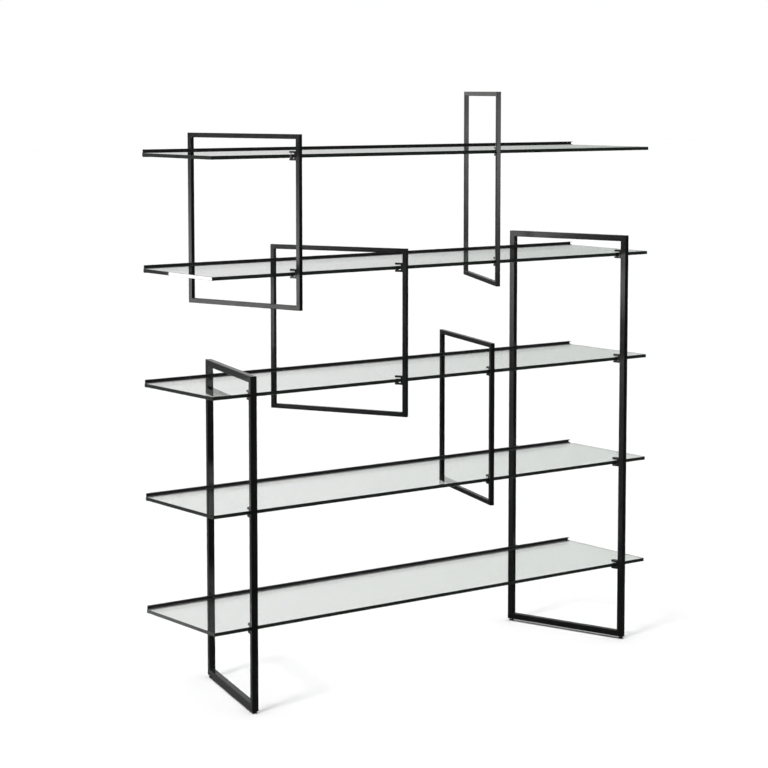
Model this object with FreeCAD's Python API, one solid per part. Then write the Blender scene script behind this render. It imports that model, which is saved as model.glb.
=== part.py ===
import FreeCAD, Part
import math
import os
from FreeCAD import Placement, Rotation, Vector

os.makedirs("parts", exist_ok=True)

# Glass shelves, all alike, numbered from the lowest
shelf_length = 1940.0
shelf_depth = 425.0
glass_thickness = 12.0
glass_arris = 0.8
lowest_shelf_height = 286.0
shelf_spacing = 390.0

# Square steel tube, welded at mitred corners
floor_tube = 22.0
hung_tube = 16.0
tube_wall = 1.5
tube_corner = 1.5
foot_gap = 8.0

# Turn of each frame from the shelves' depth, in degrees, positive with its rear post further right
lower_left_angle = 16.0
right_angle = -16.5
middle_right_angle = 17.5
middle_left_angle = -26.5
upper_left_angle = -15.5
upper_right_angle = 27.0

# Middle of each frame, from the nearer end of the shelves or from their middle
lower_left_inset = 208.0
right_inset = 207.0
upper_left_inset = 268.0
middle_left_offset = -310.0
middle_right_offset = 268.0
upper_right_offset = 337.0

# Rise of each frame above its highest shelf, and drop below the top of its lowest one
lower_left_rise = 60.0
right_rise = 65.0
middle_right_rise = 97.0
middle_right_drop = 95.0
middle_left_rise = 60.0
middle_left_drop = 132.0
upper_left_rise = 66.0
upper_left_drop = 127.0
upper_right_rise = 205.0
upper_right_drop = 92.0

# Clip on a front post: two jaws over and under the glass, with a clamp screw in the lower one
clip_reach = 31.0
clip_web = 6.0
clip_edge_clearance = 2.0
clip_jaw = 6.0
clip_pad_height = 4.5
clip_pad_margin = 3.5
clip_screw_diameter = 6.0
clip_screw_tail = 0.5
clip_disc_diameter = 11.0
clip_disc_height = 1.5
clip_cap_height = 1.0
clip_socket_width = 3.0
clip_socket_depth = 5.0

# Rail on the back edge of each shelf: a slot round the glass and a channel above it, both open to the front
rail_depth = 10.0
rail_height = 12.0
rail_wall = 1.5
rail_glass_clearance = 0.5
rail_inset = 3.0

# Screw that holds a rail to the block on a rear post, and the wall left behind its hole
bracket_end_wall = 1.0
rail_screw_diameter = 4.0
rail_screw_end_clearance = 1.0
rail_head_length = 4.0
rail_head_clearance = 0.5
rail_socket_width = 3.0
rail_socket_depth = 2.0

# Levelling foot in a threaded bush under each post of the two floor frames
foot_diameter = 17.0
foot_raise = 1.5
foot_chamfer = 1.0
stud_diameter = 8.0
stud_height = 13.0
bush_wall = 1.5
bush_height = 12.0
bush_flange_lip = 2.0
bush_flange_height = 1.0

# Clearances between a hole and what goes through it, on the radius
thread_clearance = 0.05
seat_clearance = 0.05
screw_hole_clearance = 0.25
overcut = 1.0

# Sizes and planes that several pieces share
post_gap = clip_web + clip_edge_clearance
back_seat = shelf_depth / 2 + rail_glass_clearance + rail_wall
rail_hole_depth = shelf_depth / 2 + post_gap - back_seat - bracket_end_wall
rail_screw_grip = rail_hole_depth - rail_screw_end_clearance
bush_diameter = stud_diameter + 2 * bush_wall
bush_flange_bottom = foot_gap - bush_flange_height
across = Vector(0, 1, 0)
up = Vector(0, 0, 1)


def shelf_top(number):
    return lowest_shelf_height + (number - 1) * shelf_spacing


def shelf_bottom(number):
    return shelf_top(number) - glass_thickness


class Frame:
    """A closed rectangle of square tube round some of the shelves.

    It is built lying along its own X, from front to rear, and then turned into place.
    """

    def __init__(self, name, tube, angle, centre, first, last, drop, rise):
        self.name = name
        self.tube = tube
        self.half = tube / 2
        self.sine = math.sin(math.radians(angle))
        self.cosine = math.cos(math.radians(angle))
        self.centre = centre
        self.shelves = range(first, last + 1)
        self.bottom = shelf_top(first) - drop
        self.top = shelf_top(last) + rise
        corner_reach = self.half * (self.cosine + abs(self.sine))
        self.half_run = (shelf_depth / 2 + post_gap + corner_reach) / self.cosine
        self.front_face = -self.half_run + self.half
        self.rear_face = self.half_run - self.half
        self.place = Placement(Vector(centre, 0, 0), Rotation(up, 90 - angle))

    def placed(self, shape):
        shape.Placement = self.place
        return shape

    def along_at(self, depth, side):
        """Distance along the frame of the point at this depth of the shelves, off to one side."""
        return (depth - side * self.sine) / self.cosine

    def length_at(self, depth):
        """Place along the shelves where the middle of the frame crosses this depth."""
        return self.centre + depth * self.sine / self.cosine


floor_drop = lowest_shelf_height - foot_gap
floor_frames = [
    Frame("lower_left", floor_tube, lower_left_angle, lower_left_inset - shelf_length / 2,
          1, 3, floor_drop, lower_left_rise),
    Frame("right", floor_tube, right_angle, shelf_length / 2 - right_inset,
          1, 4, floor_drop, right_rise),
]
hung_frames = [
    Frame("middle_right", hung_tube, middle_right_angle, middle_right_offset,
          2, 3, middle_right_drop, middle_right_rise),
    Frame("middle_left", hung_tube, middle_left_angle, middle_left_offset,
          3, 4, middle_left_drop, middle_left_rise),
    Frame("upper_left", hung_tube, upper_left_angle, upper_left_inset - shelf_length / 2,
          4, 5, upper_left_drop, upper_left_rise),
    Frame("upper_right", hung_tube, upper_right_angle, upper_right_offset,
          4, 5, upper_right_drop, upper_right_rise),
]
frames = floor_frames + hung_frames
crossings = [(frame, number) for frame in frames for number in frame.shelves]


def box(x_range, y_range, z_range):
    low = Vector(x_range[0], y_range[0], z_range[0])
    size = Vector(x_range[1], y_range[1], z_range[1]) - low
    return Part.makeBox(size.x, size.y, size.z, low)


def cylinder(diameter, bottom, height, direction=up):
    return Part.makeCylinder(diameter / 2, height, bottom, direction)


def hexagon(width, bottom, height, direction=up):
    """Six-sided prism for a key socket, measured across its flats."""
    corner = width / math.sqrt(3)
    turn = Rotation(up, direction)
    points = []
    for index in range(7):
        angle = math.radians(60 * index)
        points.append(bottom + turn * Vector(corner * math.cos(angle), corner * math.sin(angle), 0))
    return Part.Face(Part.makePolygon(points)).extrude(direction * height)


def upright_prism(points, width):
    """Outline in the frame's own plane, made as thick as width about that plane."""
    shifted = [point - across * (width / 2) for point in points + points[:1]]
    return Part.Face(Part.makePolygon(shifted)).extrude(across * width)


def mitred_band(start, end, inward, near, far):
    """Strip of a frame's side between two distances from its outer edge, cut at 45 degrees."""
    along = (end - start).normalize()
    return [
        start + (inward + along) * near,
        end + (inward - along) * near,
        end + (inward - along) * far,
        start + (inward + along) * far,
    ]


def mitred_tube(start, end, inward, size):
    """Hollow square tube between two outer corners of a frame."""
    along = (end - start).normalize()
    nearly_parallel = 0.999
    solid = upright_prism(mitred_band(start, end, inward, 0, size), size)
    long_edges = []
    for edge in solid.Edges:
        direction = (edge.Vertexes[1].Point - edge.Vertexes[0].Point).normalize()
        if abs(direction.dot(along)) > nearly_parallel:
            long_edges.append(edge)
    solid = solid.makeFillet(tube_corner, long_edges)
    bore = upright_prism(
        mitred_band(start, end, inward, tube_wall, size - tube_wall), size - 2 * tube_wall)
    return solid.cut(bore)


def frame_tubes(frame):
    reach = frame.half_run + frame.half
    low_front = Vector(-reach, 0, frame.bottom)
    low_rear = Vector(reach, 0, frame.bottom)
    high_front = Vector(-reach, 0, frame.top)
    high_rear = Vector(reach, 0, frame.top)
    inwards = Vector(1, 0, 0)
    tubes = {
        "front_post": mitred_tube(low_front, high_front, inwards, frame.tube),
        "rear_post": mitred_tube(low_rear, high_rear, -inwards, frame.tube),
        "top_bar": mitred_tube(high_front, high_rear, -up, frame.tube),
        "bottom_bar": mitred_tube(low_front, low_rear, up, frame.tube),
    }
    if frame in floor_frames:
        for end in (-frame.half_run, frame.half_run):
            hole = cylinder(bush_diameter + 2 * seat_clearance,
                            Vector(end, 0, frame.bottom - overcut), tube_wall + 2 * overcut)
            tubes["bottom_bar"] = tubes["bottom_bar"].cut(hole)
    return tubes


def shelf(number):
    plate = box((-shelf_length / 2, shelf_length / 2), (-shelf_depth / 2, shelf_depth / 2),
                (shelf_bottom(number), shelf_top(number)))
    return plate.makeChamfer(glass_arris, plate.Edges)


def rounded_tongue(frame, bottom, height):
    """Jaw as wide as the post, standing out of the front post's face with a round tip."""
    tip = frame.front_face + clip_reach
    straight_end = tip - frame.half
    near_right = Vector(frame.front_face, -frame.half, bottom)
    far_right = Vector(straight_end, -frame.half, bottom)
    far_left = Vector(straight_end, frame.half, bottom)
    near_left = Vector(frame.front_face, frame.half, bottom)
    outline = Part.Wire([
        Part.LineSegment(near_right, far_right).toShape(),
        Part.Arc(far_right, Vector(tip, 0, bottom), far_left).toShape(),
        Part.LineSegment(far_left, near_left).toShape(),
        Part.LineSegment(near_left, near_right).toShape(),
    ])
    return Part.Face(outline).extrude(up * height)


def screw_place(frame, height):
    return Vector(frame.front_face + clip_reach - frame.half, 0, height)


def lower_jaw_top(number):
    return shelf_bottom(number) - clip_cap_height - clip_disc_height


def clip(frame, number):
    upper_bottom = shelf_top(number) + clip_pad_height
    lower_bottom = lower_jaw_top(number) - clip_jaw
    upper_jaw = rounded_tongue(frame, upper_bottom, clip_jaw)
    lower_jaw = rounded_tongue(frame, lower_bottom, clip_jaw)
    web = box((frame.front_face, frame.front_face + clip_web), (-frame.half, frame.half),
              (lower_bottom, upper_bottom + clip_jaw))
    hole = cylinder(clip_screw_diameter + 2 * thread_clearance,
                    screw_place(frame, lower_bottom - overcut), clip_jaw + 2 * overcut)
    return frame.placed(upper_jaw.fuse([lower_jaw, web]).removeSplitter().cut(hole))


def clip_screw(frame, number):
    """Clamp screw with a pressure disc on top and a key socket in its lower end."""
    tail = lower_jaw_top(number) - clip_jaw - clip_screw_tail
    shank = cylinder(clip_screw_diameter, screw_place(frame, tail),
                     clip_screw_tail + clip_jaw + clip_disc_height)
    disc = cylinder(clip_disc_diameter, screw_place(frame, lower_jaw_top(number)), clip_disc_height)
    socket = hexagon(clip_socket_width, screw_place(frame, tail), clip_socket_depth)
    return frame.placed(shank.fuse(disc).removeSplitter().cut(socket))


def clip_pad(frame, number):
    """Clear pad between the upper jaw and the glass."""
    return frame.placed(cylinder(frame.tube - 2 * clip_pad_margin,
                                 screw_place(frame, shelf_top(number)), clip_pad_height))


def clip_cap(frame, number):
    """Rubber cap on the clamp screw, which presses the glass up against the pad."""
    return frame.placed(cylinder(clip_disc_diameter,
                                 screw_place(frame, shelf_bottom(number) - clip_cap_height), clip_cap_height))


def rail_bottom(number):
    return shelf_bottom(number) - rail_wall


def rail_top(number):
    return shelf_top(number) + rail_height


def rail_screw_place(frame, number, depth):
    return Vector(frame.length_at(back_seat), depth, shelf_top(number) + rail_height / 2)


def bracket(frame, number):
    """Block as wide as the rear post, from its face to the back of the rail, tapped for the rail's screw."""
    bottom = rail_bottom(number)
    points = [
        Vector(frame.rear_face, -frame.half, bottom),
        Vector(frame.along_at(back_seat, -frame.half), -frame.half, bottom),
        Vector(frame.along_at(back_seat, frame.half), frame.half, bottom),
        Vector(frame.rear_face, frame.half, bottom),
    ]
    outline = Part.Face(Part.makePolygon(points + points[:1]))
    block = frame.placed(outline.extrude(up * (rail_top(number) - bottom)))
    hole = cylinder(rail_screw_diameter + 2 * thread_clearance,
                    rail_screw_place(frame, number, back_seat - overcut),
                    overcut + rail_hole_depth, across)
    return block.cut(hole)


def rail(number):
    """Extrusion with three flanges: under the glass, on the glass and at the top of the channel."""
    ends = (rail_inset - shelf_length / 2, shelf_length / 2 - rail_inset)
    past_ends = (ends[0] - overcut, ends[1] + overcut)
    front = back_seat - rail_depth
    inside = (front - overcut, back_seat - rail_wall)
    profile = box(ends, (front, back_seat), (rail_bottom(number), rail_top(number)))
    slot = box(past_ends, inside, (shelf_bottom(number), shelf_top(number)))
    channel = box(past_ends, inside, (shelf_top(number) + rail_wall, rail_top(number) - rail_wall))
    profile = profile.cut(slot).cut(channel)
    for frame, crossed in crossings:
        if crossed == number:
            hole = cylinder(rail_screw_diameter + 2 * screw_hole_clearance,
                            rail_screw_place(frame, number, back_seat - rail_wall - overcut),
                            rail_wall + 2 * overcut, across)
            profile = profile.cut(hole)
    return profile


def rail_screw(frame, number):
    head_diameter = rail_height - 2 * rail_wall - 2 * rail_head_clearance
    head_front = back_seat - rail_wall - rail_head_length
    head = cylinder(head_diameter, rail_screw_place(frame, number, head_front), rail_head_length, across)
    shank = cylinder(rail_screw_diameter, rail_screw_place(frame, number, head_front),
                     rail_head_length + rail_wall + rail_screw_grip, across)
    socket = hexagon(rail_socket_width, rail_screw_place(frame, number, head_front),
                     rail_socket_depth, across)
    return head.fuse(shank).removeSplitter().cut(socket)


def foot_bush(frame, end):
    """Threaded bush inside the bottom bar, with a thin flange under it."""
    body = cylinder(bush_diameter, Vector(end, 0, bush_flange_bottom), bush_flange_height + bush_height)
    flange = cylinder(bush_diameter + 2 * bush_flange_lip, Vector(end, 0, bush_flange_bottom),
                      bush_flange_height)
    bore = cylinder(stud_diameter + 2 * thread_clearance, Vector(end, 0, bush_flange_bottom - overcut),
                    bush_flange_height + bush_height + 2 * overcut)
    return frame.placed(body.fuse(flange).removeSplitter().cut(bore))


def foot(frame, end):
    """Round base on the floor and the stud that turns in the bush."""
    base = cylinder(foot_diameter, Vector(end, 0, 0), bush_flange_bottom - foot_raise)
    rims = [edge for edge in base.Edges if len(edge.Vertexes) == 1]
    base = base.makeChamfer(foot_chamfer, rims)
    stud = cylinder(stud_diameter, Vector(end, 0, 0), foot_gap + stud_height)
    return frame.placed(base.fuse(stud).removeSplitter())


def save(name, shapes):
    if len(shapes) == 1:
        shapes[0].exportStep("parts/" + name + ".step")
    else:
        Part.makeCompound(shapes).exportStep("parts/" + name + ".step")


for number in sorted({crossed for _, crossed in crossings}):
    save("glass_shelf_%d" % number, [shelf(number)])
    save("back_rail_%d" % number, [rail(number)])

for frame in frames:
    for side, tube in frame_tubes(frame).items():
        save(frame.name + "_" + side, [frame.placed(tube)])
    save(frame.name + "_clips", [clip(frame, number) for number in frame.shelves])
    save(frame.name + "_brackets", [bracket(frame, number) for number in frame.shelves])

save("clip_screws", [clip_screw(frame, number) for frame, number in crossings])
save("clip_pads", [clip_pad(frame, number) for frame, number in crossings])
save("clip_caps", [clip_cap(frame, number) for frame, number in crossings])
save("rail_screws", [rail_screw(frame, number) for frame, number in crossings])

bushes = []
for frame in floor_frames:
    for end_name, end in (("front", -frame.half_run), ("rear", frame.half_run)):
        save(frame.name + "_" + end_name + "_foot", [foot(frame, end)])
        bushes.append(foot_bush(frame, end))
save("foot_bushes", bushes)
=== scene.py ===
import math

import bmesh
import bpy
from mathutils import Matrix, Vector


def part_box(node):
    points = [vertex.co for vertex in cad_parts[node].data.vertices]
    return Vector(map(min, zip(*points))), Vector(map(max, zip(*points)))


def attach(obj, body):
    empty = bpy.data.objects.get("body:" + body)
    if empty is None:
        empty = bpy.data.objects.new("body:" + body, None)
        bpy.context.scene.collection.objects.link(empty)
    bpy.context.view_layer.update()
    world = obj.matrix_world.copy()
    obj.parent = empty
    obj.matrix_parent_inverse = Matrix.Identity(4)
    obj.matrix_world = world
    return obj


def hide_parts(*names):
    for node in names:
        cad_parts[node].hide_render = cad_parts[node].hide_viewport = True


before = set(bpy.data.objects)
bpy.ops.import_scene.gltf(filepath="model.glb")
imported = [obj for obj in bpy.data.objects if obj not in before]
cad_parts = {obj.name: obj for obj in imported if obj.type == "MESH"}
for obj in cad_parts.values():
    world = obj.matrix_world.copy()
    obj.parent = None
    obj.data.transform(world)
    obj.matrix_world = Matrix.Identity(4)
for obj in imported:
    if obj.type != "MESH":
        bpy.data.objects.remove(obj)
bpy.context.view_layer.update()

# Square tube of the six frames: cold-drawn steel tube with rounded corners, mitred and welded, the welds
# ground flush. The whole frame is then powder coated satin black, which leaves a fine orange peel.


class Wire:
    """Output of a shader node, so that shader maths reads as plain sums."""

    def __init__(self, tree, socket=None):
        self.tree = tree
        self.socket = socket

    def node(self, kind, inputs=None, out=0, **settings):
        made = self.tree.nodes.new("ShaderNode" + kind)
        for name, value in settings.items():
            setattr(made, name, value)
        for name, value in (inputs or {}).items():
            if isinstance(value, Wire):
                self.tree.links.new(value.socket, made.inputs[name])
            else:
                made.inputs[name].default_value = value
        return Wire(self.tree, made.outputs[out])

    def maths(self, operation, first, second):
        return self.node("Math", {0: first, 1: second}, operation=operation)

    def __add__(self, other):
        return self.maths("ADD", self, other)

    __radd__ = __add__

    def __sub__(self, other):
        return self.maths("SUBTRACT", self, other)

    def __rsub__(self, other):
        return self.maths("SUBTRACT", other, self)

    def __mul__(self, other):
        return self.maths("MULTIPLY", self, other)

    __rmul__ = __mul__

    def clipped(self, low, high):
        """Stretch the values from low to high over nought to one, and stop there."""
        return self.node("MapRange", {"Value": self, "From Min": low, "From Max": high})

    def place(self):
        """Place on the piece, in metres in the bookshelf's own frame."""
        return self.node("TexCoord", out="Object")

    def noise(self, scale, detail, roughness=0.5, place=None):
        """Noise over the place on the piece, or over another place that is given."""
        return self.node("TexNoise", {
            "Vector": place or self.place(), "Scale": scale, "Detail": detail, "Roughness": roughness})

    def drawn_out(self, scale, detail, roughness):
        """Noise with its own scale along each axis of the bookshelf."""
        stretched = self.node("Mapping", {"Vector": self.place(), "Scale": scale})
        return self.noise(1.0, detail, roughness, stretched)

    def colour(self, share, first, second):
        """Mix of two colours, all of the second one where the share is one."""
        return self.node("Mix", {"Factor": share, "A": (*first, 1), "B": (*second, 1)},
                         data_type="RGBA", out="Result")

    def bump(self, height, strength, distance):
        return self.node("Bump", {"Height": height, "Strength": strength, "Distance": distance})

    def reach(self, output, socket):
        """Lead this output to a socket of the tree's output node."""
        self.tree.links.new(self.socket, self.tree.nodes[output].inputs[socket])


def new_finish(name, **sockets):
    """Material with one shader, whose even values are set straight on it."""
    material = bpy.data.materials.new(name)
    material.use_nodes = True
    shader = material.node_tree.nodes["Principled BSDF"]
    for socket, value in sockets.items():
        shader.inputs[socket.replace("_", " ")].default_value = value
    return material, shader, Wire(material.node_tree)


def feed(shader, **wires):
    for socket, wire in wires.items():
        wire.tree.links.new(wire.socket, shader.inputs[socket.replace("_", " ")])


def dress(names, material):
    for name in names:
        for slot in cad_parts[name].material_slots:
            slot.material = material


def powder_coat(name, colour, worn_colour, peel_scale, peel_height):
    """Baked powder: a fine dimpled skin, a little uneven in gloss and in depth of black."""
    material, shader, wire = new_finish(name, Specular_IOR_Level=0.13)
    peel = wire.noise(scale=peel_scale, detail=2.0, roughness=0.55)
    cloud = wire.noise(scale=14.0, detail=4.0, roughness=0.6).clipped(0.3, 0.7)
    speck = wire.noise(scale=peel_scale * 0.45, detail=3.0).clipped(0.35, 0.65)
    feed(shader,
         Base_Color=wire.colour(cloud, colour, worn_colour),
         Roughness=0.17 + 0.05 * cloud + 0.04 * speck,
         Normal=wire.bump(peel, strength=0.35, distance=peel_height))
    return material


tube_coat = powder_coat("tube_powder_coat", (0.0065, 0.0066, 0.0070), (0.0105, 0.0105, 0.0110),
                        peel_scale=850.0, peel_height=0.00003)
standing_frames = ["lower_left", "right"]
hanging_frames = ["middle_right", "middle_left", "upper_left", "upper_right"]
frame_names = standing_frames + hanging_frames
tube_sides = ["front_post", "rear_post", "top_bar", "bottom_bar"]
dress([name + "_" + side for name in frame_names for side in tube_sides], tube_coat)


# Clips and brackets: laser-cut steel, welded to the posts before coating, so they share the frames' black.
# Their coat is a little thinner over the cut edges, with a finer peel.
clip_coat = powder_coat("clip_powder_coat", (0.0060, 0.0060, 0.0064), (0.0115, 0.0115, 0.0120),
                        peel_scale=1200.0, peel_height=0.00002)
dress([name + "_" + kind for name in frame_names for kind in ("clips", "brackets")], clip_coat)


# Clamp screws and rail screws: socket screws in black-oxide steel, with faint turning marks round the shank
# and a little bare metal where the oxide has rubbed.
screw_black, shader, wire = new_finish("black_oxide", Metallic=1.0)
turning = wire.node("TexWave", {"Vector": wire.place(), "Scale": 320.0, "Distortion": 1.5, "Detail": 2.0},
                    wave_type="BANDS", bands_direction="Z", out="Fac")
rubbed = wire.noise(scale=420.0, detail=3.0).clipped(0.58, 0.75)
feed(shader,
     Base_Color=wire.colour(0.5 * rubbed, (0.03, 0.03, 0.032), (0.12, 0.12, 0.12)),
     Roughness=0.36 + 0.12 * turning,
     Normal=wire.bump(turning, strength=0.25, distance=0.00008))
dress(["clip_screws", "rail_screws"], screw_black)


# Pads: soft clear plastic discs, moulded, that keep the clips' upper jaws off the glass. The clamp squeezes
# them, so their rims bulge a little between flat faces.
pad_clear, shader, wire = new_finish("clear_soft_plastic", Transmission_Weight=0.75, IOR=1.47)
haze = wire.noise(scale=600.0, detail=3.0)
feed(shader,
     Base_Color=wire.colour(haze, (0.82, 0.84, 0.83), (0.92, 0.93, 0.92)),
     Roughness=0.22 + 0.18 * haze)
same_point = 0.000001
round_steps = 32


def discs_of(node):
    """Middle, radius, bottom and top of each separate disc of a node."""
    shape = bmesh.new()
    shape.from_mesh(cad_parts[node].data)
    bmesh.ops.remove_doubles(shape, verts=shape.verts, dist=same_point)
    waiting = set(shape.verts)
    discs = []
    while waiting:
        disc = {waiting.pop()}
        fresh = list(disc)
        while fresh:
            corner = fresh.pop()
            for edge in corner.link_edges:
                other = edge.other_vert(corner)
                if other in waiting:
                    waiting.remove(other)
                    disc.add(other)
                    fresh.append(other)
        low = Vector([min(corner.co[axis] for corner in disc) for axis in range(3)])
        high = Vector([max(corner.co[axis] for corner in disc) for axis in range(3)])
        discs.append(((low + high) / 2, (high.x - low.x) / 2, low.z, high.z))
    shape.free()
    return sorted(discs, key=lambda disc: tuple(disc[0]))


def spin_outline(shape, middle, outline, steps):
    """Turn an outline of radii and heights once round the upright line through the middle."""
    corners = [shape.verts.new((middle.x + radius, middle.y, height)) for radius, height in outline]
    edges = [shape.edges.new(pair) for pair in zip(corners, corners[1:])]
    bmesh.ops.spin(shape, geom=corners + edges, cent=(middle.x, middle.y, 0), axis=(0, 0, 1),
                   angle=math.tau, steps=steps, use_merge=True)


def fit_piece(name, shape, material, body, node):
    """Close a spun mesh, give it its finish and set it on its body in place of the node."""
    bmesh.ops.remove_doubles(shape, verts=shape.verts, dist=same_point)
    bmesh.ops.recalc_face_normals(shape, faces=shape.faces)
    for face in shape.faces:
        face.smooth = True
    mesh = bpy.data.meshes.new(name)
    shape.to_mesh(mesh)
    shape.free()
    mesh.materials.append(material)
    piece = bpy.data.objects.new(name, mesh)
    bpy.context.collection.objects.link(piece)
    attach(piece, body)
    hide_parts(node)


def squeezed_discs(node, flat, rim_rise):
    """Discs with flat faces out to a share of the radius, and a rim that bulges between them."""
    shape = bmesh.new()
    shoulder = (1 + flat) / 2 + 0.06
    for middle, radius, bottom, top in discs_of(node):
        rise = rim_rise * (top - bottom)
        shoulder_rise = 0.35 * rise
        spin_outline(shape, middle, [
            (0, bottom), (flat * radius, bottom), (shoulder * radius, bottom + shoulder_rise),
            (radius, bottom + rise), (radius, top - rise),
            (shoulder * radius, top - shoulder_rise), (flat * radius, top), (0, top)], round_steps)
    return shape


pad_discs = squeezed_discs("clip_pads", flat=0.78, rim_rise=0.30)
fit_piece("clip_pad_discs", pad_discs, pad_clear, "bookshelf", "clip_pads")


# Caps: black moulded rubber on the clamp screws, dull, with a little bloom where the rubber has aged and a
# rounded rim from the mould.
cap_rubber, shader, wire = new_finish("moulded_rubber", Specular_IOR_Level=0.3)
bloom = wire.noise(scale=900.0, detail=3.0, roughness=0.6)
feed(shader,
     Base_Color=wire.colour(bloom.clipped(0.4, 0.75), (0.010, 0.010, 0.010), (0.022, 0.022, 0.021)),
     Roughness=0.60 + 0.20 * bloom,
     Normal=wire.bump(bloom, strength=0.3, distance=0.00005))
cap_discs = squeezed_discs("clip_caps", flat=0.88, rim_rise=0.40)
fit_piece("clip_cap_discs", cap_discs, cap_rubber, "bookshelf", "clip_caps")


# Shelves: float glass with ground and polished edges. Its iron makes it green along the sheet, so the upright
# edges are a deep green, while seen through its thickness it stays nearly clear.
glass, shader, wire = new_finish("float_glass", Transmission_Weight=1.0, IOR=1.52)
film = wire.noise(scale=7.0, detail=5.0, roughness=0.6)
feed(shader,
     Base_Color=wire.colour(film, (0.905, 0.920, 0.906), (0.915, 0.928, 0.915)),
     Roughness=0.012 * film.clipped(0.45, 0.75))
iron_green = wire.node("VolumeAbsorption", {"Color": (0.20, 0.32, 0.26, 1), "Density": 8.8})
iron_green.reach("Material Output", "Volume")
grinding = wire.drawn_out(scale=(60.0, 60.0, 900.0), detail=3.0, roughness=0.6)
ground_edge = wire.node("BsdfPrincipled", {
    "Base Color": wire.colour(grinding, (0.015, 0.022, 0.018), (0.024, 0.033, 0.028)),
    "Roughness": 0.005 + 0.015 * grinding})
facing_up = wire.node("SeparateXYZ", {"Vector": wire.node("NewGeometry", out="Normal")}, out="Z")
lying = wire.maths("ABSOLUTE", facing_up, 0.0).clipped(0.2, 0.5)
clear_sheet = Wire(wire.tree, shader.outputs["BSDF"])
wire.node("MixShader", {0: lying, 1: ground_edge, 2: clear_sheet}).reach("Material Output", "Surface")
shelf_numbers = range(1, 6)
shelf_names = ["glass_shelf_%d" % number for number in shelf_numbers]
dress(shelf_names, glass)
for name in shelf_names:
    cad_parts[name].visible_shadow = False
    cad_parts[name].visible_diffuse = False


# Back rails: extruded aluminium with a slot round the back edge of the glass and a channel above it, screwed
# to blocks on the rear posts and anodised satin black, with fine draw lines along its length.
rail_black, shader, wire = new_finish("anodised_black", Specular_IOR_Level=0.15)
drawn = wire.drawn_out(scale=(4.0, 2200.0, 2200.0), detail=3.0, roughness=0.6)
patch = wire.noise(scale=9.0, detail=3.0)
feed(shader,
     Base_Color=wire.colour(drawn.clipped(0.35, 0.7), (0.008, 0.008, 0.0085), (0.014, 0.014, 0.0145)),
     Roughness=0.46 + 0.10 * drawn + 0.08 * patch,
     Normal=wire.bump(drawn, strength=0.2, distance=0.00004))
rail_names = ["back_rail_%d" % number for number in shelf_numbers]
dress(rail_names, rail_black)
for name in rail_names:
    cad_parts[name].visible_shadow = False
    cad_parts[name].visible_diffuse = False
for name in rail_names + ["rail_screws"] + [name + "_brackets" for name in frame_names]:
    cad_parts[name].visible_glossy = False


# Bushes: turned zinc-plated steel with a thread inside, pressed into the bottom bars of the standing frames.
# Only the thin flange under the bar is to be seen.
bush_zinc, shader, wire = new_finish("zinc_plate", Metallic=1.0)
spangle = wire.noise(scale=500.0, detail=4.0)
feed(shader,
     Base_Color=wire.colour(spangle, (0.50, 0.50, 0.51), (0.64, 0.64, 0.65)),
     Roughness=0.30 + 0.15 * spangle)
dress(["foot_bushes"], bush_zinc)


# Feet: black nylon mouldings on a threaded steel stud. The base has a fluted rim to turn it by, and the dull,
# slightly pitted skin of a spark-eroded mould. Outlines give radius and height.
foot_nylon, shader, wire = new_finish("moulded_nylon", Specular_IOR_Level=0.4)
pitted = wire.noise(scale=1800.0, detail=3.0, roughness=0.6)
feed(shader,
     Base_Color=wire.colour(pitted, (0.008, 0.008, 0.008), (0.014, 0.014, 0.014)),
     Roughness=0.45 + 0.15 * pitted,
     Normal=wire.bump(pitted, strength=0.4, distance=0.0001))
base_radius = 0.0085
base_outline = [
    (0.0000, 0.0000), (0.0072, 0.0000), (0.0081, 0.0004), (base_radius, 0.0012), (base_radius, 0.0036),
    (0.0081, 0.0046), (0.0072, 0.0051), (0.0056, 0.0055), (0.0000, 0.0055)]
flute_count = 12
flute_steps = 4
flute_depth = 0.0005
flute_bottom = 0.001
flute_top = 0.004
base_steps = flute_count * flute_steps
stud_root = 0.0034
stud_crest = 0.00395
stud_tip = 0.0028
stud_bottom = 0.0050
stud_chamfer = 0.0204
stud_top = 0.0210
thread_bottom = 0.0052
thread_pitch = 0.00125
thread_turns = 12
stud_outline = [(0.0000, stud_bottom), (stud_root, stud_bottom)]
for turn in range(thread_turns):
    start = thread_bottom + turn * thread_pitch
    stud_outline += [
        (stud_root, start), (stud_crest, start + 0.40 * thread_pitch),
        (stud_crest, start + 0.56 * thread_pitch), (stud_root, start + 0.92 * thread_pitch)]
stud_outline += [(stud_root, stud_chamfer), (stud_tip, stud_top), (0.0000, stud_top)]
for foot_name in [name + "_" + end + "_foot" for name in standing_frames for end in ("front", "rear")]:
    low, high = (Vector(corner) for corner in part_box(foot_name))
    middle = (low + high) / 2
    shape = bmesh.new()
    spin_outline(shape, middle, base_outline, base_steps)
    bmesh.ops.remove_doubles(shape, verts=shape.verts, dist=same_point)
    grooves = []
    for corner in shape.verts:
        turned = math.atan2(corner.co.y - middle.y, corner.co.x - middle.x) / math.tau * base_steps
        if flute_bottom < corner.co.z < flute_top and round(turned) % flute_steps == 0:
            grooves.append(corner)
    narrower = 1 - flute_depth / base_radius
    bmesh.ops.scale(shape, vec=(narrower, narrower, 1), space=Matrix.Translation(-middle), verts=grooves)
    fit_piece(foot_name + "_base", shape, foot_nylon, foot_name, foot_name)
    shape = bmesh.new()
    spin_outline(shape, middle, stud_outline, round_steps)
    fit_piece(foot_name + "_stud", shape, bush_zinc, foot_name, foot_name)


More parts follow.
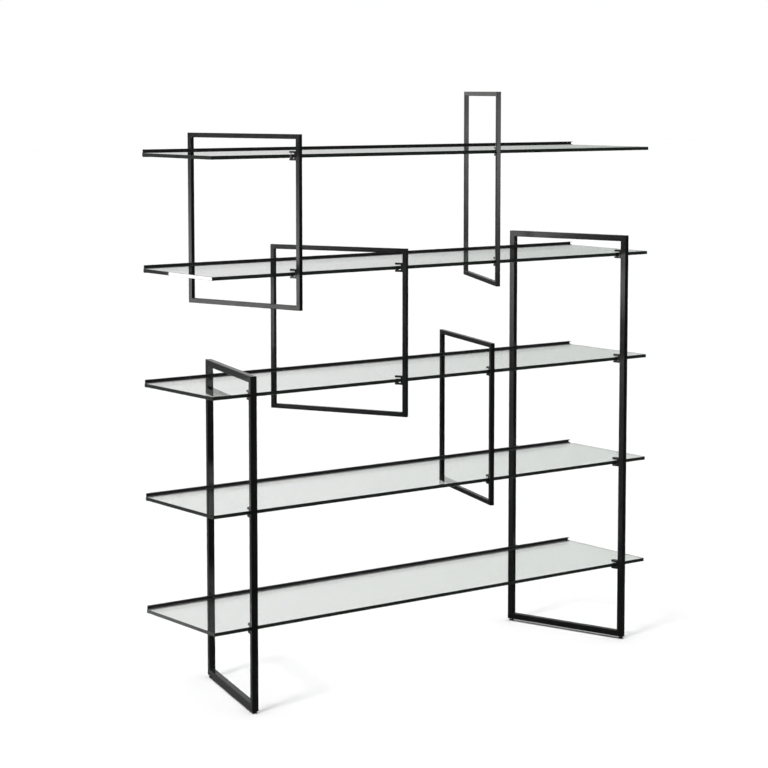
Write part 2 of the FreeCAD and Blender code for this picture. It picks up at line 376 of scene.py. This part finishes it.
# Floor: a plain white sweep, paper white to the camera and through the glass, and open from below. Only the
# two frames that stand on it shade it. What glass and coat mirror of it is painted reflection: dark in front,
# paler behind and to the left, and palest in one painted pool of light far to the left.
floor_half_width = 60.0
floor_gap = 0.0002
floor_mesh = bpy.data.meshes.new("floor")
shape = bmesh.new()
bmesh.ops.create_grid(shape, x_segments=1, y_segments=1, size=floor_half_width)
bmesh.ops.translate(shape, verts=shape.verts, vec=(0, 0, -floor_gap))
shape.to_mesh(floor_mesh)
shape.free()
floor = bpy.data.objects.new("floor", floor_mesh)
bpy.context.collection.objects.link(floor)
floor_white = bpy.data.materials.new("floor_white")
floor_white.use_nodes = True
wire = Wire(floor_white.node_tree)
wire.tree.nodes.remove(wire.tree.nodes["Principled BSDF"])


def seen_and_mirrored(wire):
    """Rays from the eye, straight or through glass, and rays off polished and coated faces."""
    seen = wire.node("LightPath", out="Is Camera Ray") + wire.node("LightPath", out="Is Transmission Ray")
    return seen, wire.node("LightPath", out="Is Glossy Ray")


seen, mirrored = seen_and_mirrored(wire)
seen_white = 0.98
soft_white = 0.80
# Painted reflection: greys the floor shows only to glass and coat, painted shade in front, painted light
# behind and to the left.
front_painted_reflection = 0.03
back_painted_reflection = 0.09
left_painted_reflection = 0.20
patch_painted_light = 0.9
along = wire.node("SeparateXYZ", {"Vector": wire.place()}, out="X")
depth = wire.node("SeparateXYZ", {"Vector": wire.place()}, out="Y")
# Painted pool of light far to the left, seen only in what glass and coat mirror.
painted_light_patch = along.clipped(-1.3, -1.6) * depth.clipped(0.55, 0.95) * depth.clipped(2.2, 1.6)
behind = depth.clipped(-0.9, -0.3)
left = along.clipped(-0.5, -0.7)
painted_reflection = front_painted_reflection + behind * (back_painted_reflection + left_painted_reflection * left) + patch_painted_light * painted_light_patch
grey = seen_white * seen + (1 - seen) * (mirrored * painted_reflection + (1 - mirrored) * soft_white)
paper = wire.node("BsdfDiffuse", {
    "Color": wire.node("CombineColor", {"Red": grey, "Green": grey, "Blue": grey})})
from_below = wire.node("NewGeometry", out="Backfacing")
open_below = wire.node("MixShader", {0: from_below, 1: paper, 2: wire.node("BsdfTransparent")})
open_below.reach("Material Output", "Surface")
floor_mesh.materials.append(floor_white)
for name in hanging_frames:
    for piece in tube_sides + ["clips", "brackets"]:
        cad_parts[name + "_" + piece].visible_shadow = False


# Studio: white to the eye and through the glass in every direction, and an even grey for soft light. What
# shines on glass and coat is a pale backdrop behind, a little darker higher up and darker and greener to the
# right, and a dark room in front.
world = bpy.data.worlds.new("studio")
bpy.context.scene.world = world
world.use_nodes = True
wire = Wire(world.node_tree)
seen, mirrored = seen_and_mirrored(wire)
direction = wire.node("TexCoord", out="Generated")


def towards(way):
    return wire.node("VectorMath", {0: direction, 1: way}, operation="DOT_PRODUCT", out="Value")


def background(colour):
    return wire.node("Background", {"Color": colour, "Strength": 1.0})


behind = towards((0.61, 0.79, 0.0)).clipped(-0.2, 0.8)
right = towards((0.79, -0.61, 0.0)).clipped(-0.06, 0.10)
height = wire.node("SeparateXYZ", {"Vector": direction}, out="Z").clipped(0.17, 0.26)
front_level = 0.04
back_level = 0.72
upper_fall = 0.16
right_fall = 0.24
red_fall = 0.06
blue_fall = 0.035
level = front_level + behind * (back_level - upper_fall * height - right_fall * right)
room = background(wire.node("CombineColor", {
    "Red": level * (1 - red_fall * right), "Green": level, "Blue": level * (1 - blue_fall * right)}))
even = background((0.15, 0.15, 0.15, 1))
white = background((1, 1, 1, 1))
unseen = wire.node("MixShader", {0: mirrored, 1: even, 2: room})
wire.node("MixShader", {0: seen, 1: unseen, 2: white}).reach("World Output", "Surface")


# Lamps: a broad one overhead, which darkens the floor close under the bars, and a weaker one from the left,
# which lays the pale shadows to the right of the posts.


def lamp(name, kind, energy, way):
    light = bpy.data.lights.new(name, kind)
    light.energy = energy
    holder = bpy.data.objects.new(name, light)
    bpy.context.collection.objects.link(holder)
    holder.rotation_mode = "QUATERNION"
    holder.rotation_quaternion = Vector(way).to_track_quat("-Z", "Y")
    return holder


lamp("overhead", "SUN", energy=2.12, way=(0, 0, -1)).data.angle = math.radians(22.0)
lamp("key", "SUN", energy=0.78, way=(0.964, 0.264, -3.08)).data.angle = math.radians(5.8)


# Panels: two lit panels that only shine on polished and coated faces, a long low one far to the left and a
# high one in front.
for name, energy, way, middle, width, tall in (
        ("left_panel", 500.0, (1, 0, 0), (-8.0, 5.775, 0.76), 11.25, 0.96),
        ("front_panel", 58.0, (0.237, 0.973, 0), (-1.0, -5.1, 1.715), 1.6, 0.67)):
    panel = lamp(name, "AREA", energy, way)
    panel.location = middle
    panel.data.shape = "RECTANGLE"
    panel.data.size = width
    panel.data.size_y = tall
    panel.visible_camera = False
    panel.visible_diffuse = False
    panel.visible_transmission = False


# Camera: stands in front and to the left at the height of the topmost bars, with a long lens, turned to the
# right and tilted a little down.
tilt_down = 5.5
turn_right = 37.338
camera = bpy.data.cameras.new("camera")
camera.sensor_width = 36.0
camera.lens = 103.93
camera.shift_y = -0.1047
camera.clip_end = 200.0
camera_object = bpy.data.objects.new("camera", camera)
bpy.context.collection.objects.link(camera_object)
camera_object.location = (-4.8485, -6.2113, 2.0564)
camera_object.rotation_euler = (math.radians(90 - tilt_down), 0, -math.radians(turn_right))
scene = bpy.context.scene
scene.camera = camera_object
scene.view_settings.view_transform = "Standard"
